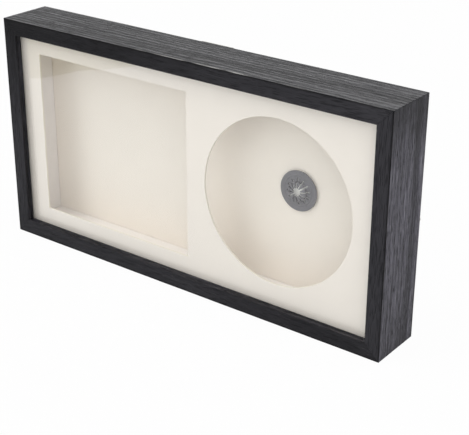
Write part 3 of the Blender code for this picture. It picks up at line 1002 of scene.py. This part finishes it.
def makeHub(plastic, foam):
    look = hubShape
    centre = (matShape["discWindow"][0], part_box("disc_hub")[1].y, middleZ)
    hub = addPiece("discHubMoulding", turned(hubProfile(), look["steps"], centre, -1), plastic)
    star = starOutline(look["fingers"], look["slitWidth"] / 2, look["slitReach"],
                       math.radians(look["slitTurn"]), look["slitSteps"])
    rings = [[(centre[0] + x, y, centre[2] + z) for x, z in star]
             for y in (centre[1] + overrun, centre[1] - look["crownHeight"] - overrun)]
    cutAway(hub, [addPiece("fingerSlits", loftRings(rings))])
    standIn(hub, "disc_hub")
    low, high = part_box("hub_pad")
    radius, bevel = (high.x - low.x) / 2, look["bevel"]
    thick = high.y - low.y
    rounding = look["padEdgeSteps"]
    profile = [(0, 0), (radius - bevel, 0)] + arc((radius - bevel, bevel), bevel, -1, 0, rounding)
    profile += arc((radius - bevel, thick - bevel), bevel, 0, 1, rounding) + [(0, thick)]
    spot = ((low.x + high.x) / 2, high.y, (low.z + high.z) / 2)
    pad = addPiece("hubPadFoam", turned(profile, look["padSteps"], spot, -1), foam)
    standIn(pad, "hub_pad")


makeHub(makeMoulded("hubPlastic", hubLook), makeFoam())
print("hub moulded")


# Brown fibreboard back

boardLook = {
    "dark": (0.13, 0.078, 0.043),
    "light": (0.30, 0.195, 0.112),
    "fleck": (0.42, 0.31, 0.20),
    "fleckShare": 0.7,
    "chips": ((0.0030, 0.0008, 0.0009), 4.0, 0.7, 1.6),
    "chipLimits": (0.35, 0.65),
    "chipShare": 0.65,
    "clouds": (0.05, 3.0),
    "flecks": ((0.0016, 0.0006, 0.0005), 2.0, 0.5, 2.0),
    "fleckLimits": (0.64, 0.70),
    "roughness": 0.75,
    "roughnessLimits": (0.83, 0.65),
    "specular": 0.3,
    "relief": 0.00008,
}


def makeFibreboard():
    look = boardLook
    finish = newFinish("backFibreboard", look["light"], look["roughness"],
                       Specular_IOR_Level=look["specular"])
    where = ownPlace(finish)
    chips = patches(where, *look["chips"])
    clouds = patches(where, *look["clouds"])
    flecks = remap(patches(where, *look["flecks"]), *look["fleckLimits"])
    share = plus(remap(chips, *look["chipLimits"], 0.0, look["chipShare"]),
                 stretch(clouds, 0.0, 1 - look["chipShare"]))
    tone = mixColours(share, look["dark"], look["light"])
    feed("Base Color", mixColours(times(flecks, look["fleckShare"]), tone, look["fleck"]))
    feed("Roughness", stretch(chips, *look["roughnessLimits"]))
    addRelief(chips, look["relief"])
    return finish


paint(makeFibreboard(), "back_panel")
print("back panel finished")


# Zinc plated steel: turn buttons on screws, the sawtooth hanger on its nails, corner nails

steelLook = {
    "colour": (0.60, 0.595, 0.575),
    "dull": (0.40, 0.39, 0.37),
    "clouds": (0.0022, 3.0, 0.6),
    "cloudShare": 0.6,
    "scuffs": ((0.0030, 0.0002, 0.0002), 2.0, 0.5, 0.8),
    "scuffLimits": (0.35, 0.65),
    "roughness": 0.32,
    "roughnessLimits": (0.46, 0.26),  # where it is dull and where it is bright
    "relief": 0.000010,
}


def makeSteel():
    look = steelLook
    finish = newFinish("zincSteel", look["colour"], look["roughness"], Metallic=1.0)
    where = ownPlace(finish)
    clouds = patches(where, *look["clouds"])
    scuffs = patches(where, *look["scuffs"])
    tone = plus(stretch(clouds, 0.0, look["cloudShare"]),
                remap(scuffs, *look["scuffLimits"], 0.0, 1 - look["cloudShare"]))
    feed("Base Color", mixColours(tone, look["dull"], look["colour"]))
    feed("Roughness", remap(tone, 0.0, 1.0, *look["roughnessLimits"]))
    addRelief(scuffs, look["relief"])
    return finish


buttonShape = {
    "spread": 0.085,  # the upper and lower buttons, from the middle
    "length": 0.0094, "tipRadius": 0.0024, "thickness": 0.0009, "edge": 0.0002,
    "margin": 0.0004,  # between the wide end and the edges of the rail
    "curl": 0.0009, "curlLength": 0.0032,
    "holeRadius": 0.00135, "holeSpan": (-0.001, 0.003), "holeSteps": 48,
    "seatGap": 0.0003,
    "arcSteps": 14, "sideSteps": 8,
    "leastHalf": 0.00015,  # half the width at either end
}

screwShape = {
    "shank": 0.0012, "length": 0.011, "point": 0.002,
    "head": 0.0026, "rim": 0.0004, "height": 0.0015,
    "recessReach": 0.0014, "recessHalf": 0.00034, "recessDepth": 0.0009, "recessPast": 0.0003,
    "recessTaper": (0.5, 1.12),  # width at its foot and above the head
    "recessTurn": 0.3,  # radians
    "recessArms": 4, "recessSteps": 4, "steps": 64,
}

pinBevel = 0.0001
pinDomeSteps = 10
plateEdgeSteps = 3


def plateLoft(stations, thickness, edge, put):
    # a bent plate from (along, low, high, lift) stations, its long edges rounded; put gives a place
    rings = []
    for along, low, high, lift in stations:
        side = min(edge, (high - low) / 4)
        ring = []
        for centre, first in (((high - side, thickness - edge), 0), ((low + side, thickness - edge), 1),
                              ((low + side, edge), 2), ((high - side, edge), 3)):
            ring += arc(centre, (side, edge), first, first + 1, plateEdgeSteps)
        rings.append([put(along, lift + up, across) for across, up in ring])
    return loftRings(rings)


def buttonStations():
    look = buttonShape
    wide = railShape["wall"] / 2 - look["margin"]
    length, tip, steps, spans = (look[key] for key in ("length", "tipRadius", "arcSteps", "sideSteps"))
    lean = math.asin((wide - tip) / length)
    stations = []
    for centre, radius, first, last in ((0, wide, math.pi, math.pi / 2 - lean),
                                        (length, tip, math.pi / 2 - lean, 0)):
        for step in range(steps + 1):
            angle = first + (last - first) * step / steps
            half = max(radius * math.sin(angle), look["leastHalf"])
            stations.append((centre + radius * math.cos(angle), half))
    last = stations[steps]
    first = stations[steps + 1]
    stations[steps + 1:steps + 1] = [tuple(a + (b - a) * i / spans for a, b in zip(last, first))
                                     for i in range(1, spans)]
    curlStart = length + tip - look["curlLength"]
    return [(along, -half, half, look["curl"] * (max(0, along - curlStart) / look["curlLength"]) ** 2)
            for along, half in stations]


def makeButton(name, nodeName, finish, x, z, turns):
    look = buttonShape
    seat = rearY + look["seatGap"]
    angle = math.pi / 2 * turns
    ahead = Vector((round(math.cos(angle)), -round(math.sin(angle))))  # the way it points, in x and z
    aside = Vector((round(math.sin(angle)), round(math.cos(angle))))

    def put(along, up, across):
        spot = ahead * along + aside * across
        return (x + spot.x, seat + up, z + spot.y)

    button = addPiece(name, plateLoft(buttonStations(), look["thickness"], look["edge"], put), finish)
    cutAway(button, [drill("buttonHole", look, (x, seat, z))])
    standIn(button, nodeName)


def pinProfile(look):
    # half section of a nail or screw, its head's underside at zero height
    shank, length, head, rim, height = (look[key] for key in ("shank", "length", "head", "rim", "height"))
    profile = [(0, -length), (shank, look["point"] - length), (shank, 0), (head - pinBevel, 0),
               (head, pinBevel), (head, rim)]
    return profile + arc((0, rim), (head, height - rim), 0, 1, pinDomeSteps)[1:-1] + [(0, height)]


def makePin(name, look, spot, finish):
    return addPiece(name, turned(pinProfile(look), look["steps"], spot, 1), finish)


def makeScrew(name, nodeName, finish, x, z):
    look = screwShape
    head = rearY + 2 * buttonShape["seatGap"] + buttonShape["thickness"]
    screw = makePin(name, look, (x, head, z), finish)
    rings = []
    for rise, share in zip((-look["recessDepth"], look["recessPast"]), look["recessTaper"]):
        star = starOutline(look["recessArms"], look["recessHalf"] * share, look["recessReach"] * share,
                           look["recessTurn"], look["recessSteps"])
        rings.append([(x + across, head + (look["height"] + rise), z + up) for across, up in star])
    cutAway(screw, [addPiece("crossRecess", loftRings(rings))])
    standIn(screw, nodeName)


def makeTurnButtons(finish):
    inset = railShape["wall"] / 2
    spread = buttonShape["spread"]
    # place in x and z, and the quarter turns from pointing right to pointing inwards
    spots = {
        "top_left": (-spread, topZ - inset, 1),
        "top_right": (spread, topZ - inset, 1),
        "bottom_left": (-spread, inset, -1),
        "bottom_right": (spread, inset, -1),
        "left": (inset - sideX, middleZ, 0),
        "right": (sideX - inset, middleZ, 2),
    }
    for place, (x, z, turns) in spots.items():
        words = "".join(word.capitalize() for word in place.split("_"))
        makeButton("turnButton" + words, "turn_button_" + place, finish, x, z, turns)
        makeScrew("buttonScrew" + words, "button_screw_" + place, finish, x, z)


hangerShape = {
    "length": 0.044, "margin": 0.0006, "thickness": 0.0008, "edge": 0.00012,
    "lift": 0.0016, "ramp": 0.002, "corner": 0.0012, "endSteps": 8,
    "teeth": 9, "pitch": 0.003, "toothDepth": 0.0013, "toothSteps": 10,
    "notchRound": (0.88, 0.5, 0.06),  # where it starts, its slope, and how much shallower the notch is
    "holeRadius": 0.0011, "holeSpan": (-0.003, 0.002), "holeSteps": 32,
    "nailInset": 0.0035,
}

hangerNailShape = {
    "shank": 0.0008, "length": 0.010, "point": 0.0016,
    "head": 0.0017, "rim": 0.0002, "height": 0.0008, "steps": 48,
}


def hangerStations():
    # from the middle of the hanger to its right end; the notches are a little rounded at their tops
    look = hangerShape
    top = -look["margin"]
    low = look["margin"] - railShape["wall"]
    corner, steps = look["corner"], look["endSteps"]
    roundFrom, slope, shallower = look["notchRound"]
    stations = []
    for step in range(look["teeth"] * look["toothSteps"] + 1):
        along = step * look["pitch"] / 2 / look["toothSteps"]
        phase = (along / look["pitch"]) % 1
        notch = abs(1 - 2 * phase)  # 1 at a notch, 0 at the point of a tooth
        if notch > roundFrom:
            notch = min(notch, 1 - (1 - notch) * slope - shallower)
        stations.append((along, low + look["toothDepth"] * notch, top, look["lift"]))
    for step in range(1, steps + 1):
        share = step / steps
        eased = share * share * (3 - 2 * share)
        along = look["teeth"] * look["pitch"] / 2 + look["ramp"] * share
        stations.append((along, low, top, look["lift"] * (1 - eased)))
    for step in range(steps + 1):
        angle = math.pi / 2 * step / steps
        along = look["length"] / 2 - corner * (1 - math.sin(angle))
        shorter = corner * (1 - math.cos(angle))
        stations.append((along, low + shorter, top - shorter, 0))
    return stations


def makeHanger(finish):
    look = hangerShape
    seat = rearY + buttonShape["seatGap"]
    right = hangerStations()
    left = [(-along, low, high, lift) for along, low, high, lift in right[:0:-1]]
    shape = plateLoft(left + right, look["thickness"], look["edge"],
                      lambda along, up, across: (along, seat + up, topZ + across))
    hanger = addPiece("sawtoothHangerPlate", shape, finish)
    head = seat + look["thickness"] + buttonShape["seatGap"]
    cutters = []
    for side, sign in (("left", -1), ("right", 1)):
        spot = (sign * (look["length"] / 2 - look["nailInset"]), head, topZ - railShape["wall"] / 2)
        nail = makePin("hangerNail" + side.capitalize(), hangerNailShape, spot, finish)
        standIn(nail, "hanger_nail_" + side)
        cutters.append(drill("nailHole", look, spot))
    cutAway(hanger, cutters)
    standIn(hanger, "sawtooth_hanger")


steel = makeSteel()
makeTurnButtons(steel)
makeHanger(steel)
paint(steel, *[name for name in nodes if name.startswith("corner_nail")])
print("back hardware finished")


# Rubber bumpers that keep the foot of the frame off the wall

bumperShape = {
    "radius": 0.00325, "height": 0.0034, "taper": 0.0005, "bevel": 0.0001,
    "round": 0.0007, "roundSteps": 6,
    "dimpleRadius": 0.0009, "dimpleDepth": 0.00025,
    "inset": 0.016,  # from the side of the frame
    "steps": 72,
}

rubberLook = {
    "colour": (0.035, 0.035, 0.036),
    "dark": (0.022, 0.022, 0.023),
    "light": (0.055, 0.054, 0.053),
    "grit": (0.0006, 3.0),
    "clouds": (0.0025, 2.0),
    "roughness": 0.58,
    "roughnessLimits": (0.50, 0.68),
    "relief": 0.00003,
}


def makeBumpers(finish):
    look = bumperShape
    radius, height, bend, bevel = look["radius"], look["height"], look["round"], look["bevel"]
    shoulder = radius - look["taper"]
    profile = [(0, 0), (radius - bevel, 0), (radius, bevel)]
    profile += arc((shoulder - bend, height - bend), bend, 0, 1, look["roundSteps"])
    dimple, deep = look["dimpleRadius"], look["dimpleDepth"]
    profile += [(dimple, height), (dimple - bevel, height - deep), (0, height - deep)]
    for side, sign in (("left", -1), ("right", 1)):
        spot = (sign * (sideX - look["inset"]), rearY + buttonShape["seatGap"], railShape["wall"] / 2)
        bumper = addPiece("wallBumper" + side.capitalize(), turned(profile, look["steps"], spot, 1), finish)
        standIn(bumper, "wall_bumper_" + side)


makeBumpers(makeMoulded("bumperRubber", rubberLook))
print("bumpers finished")
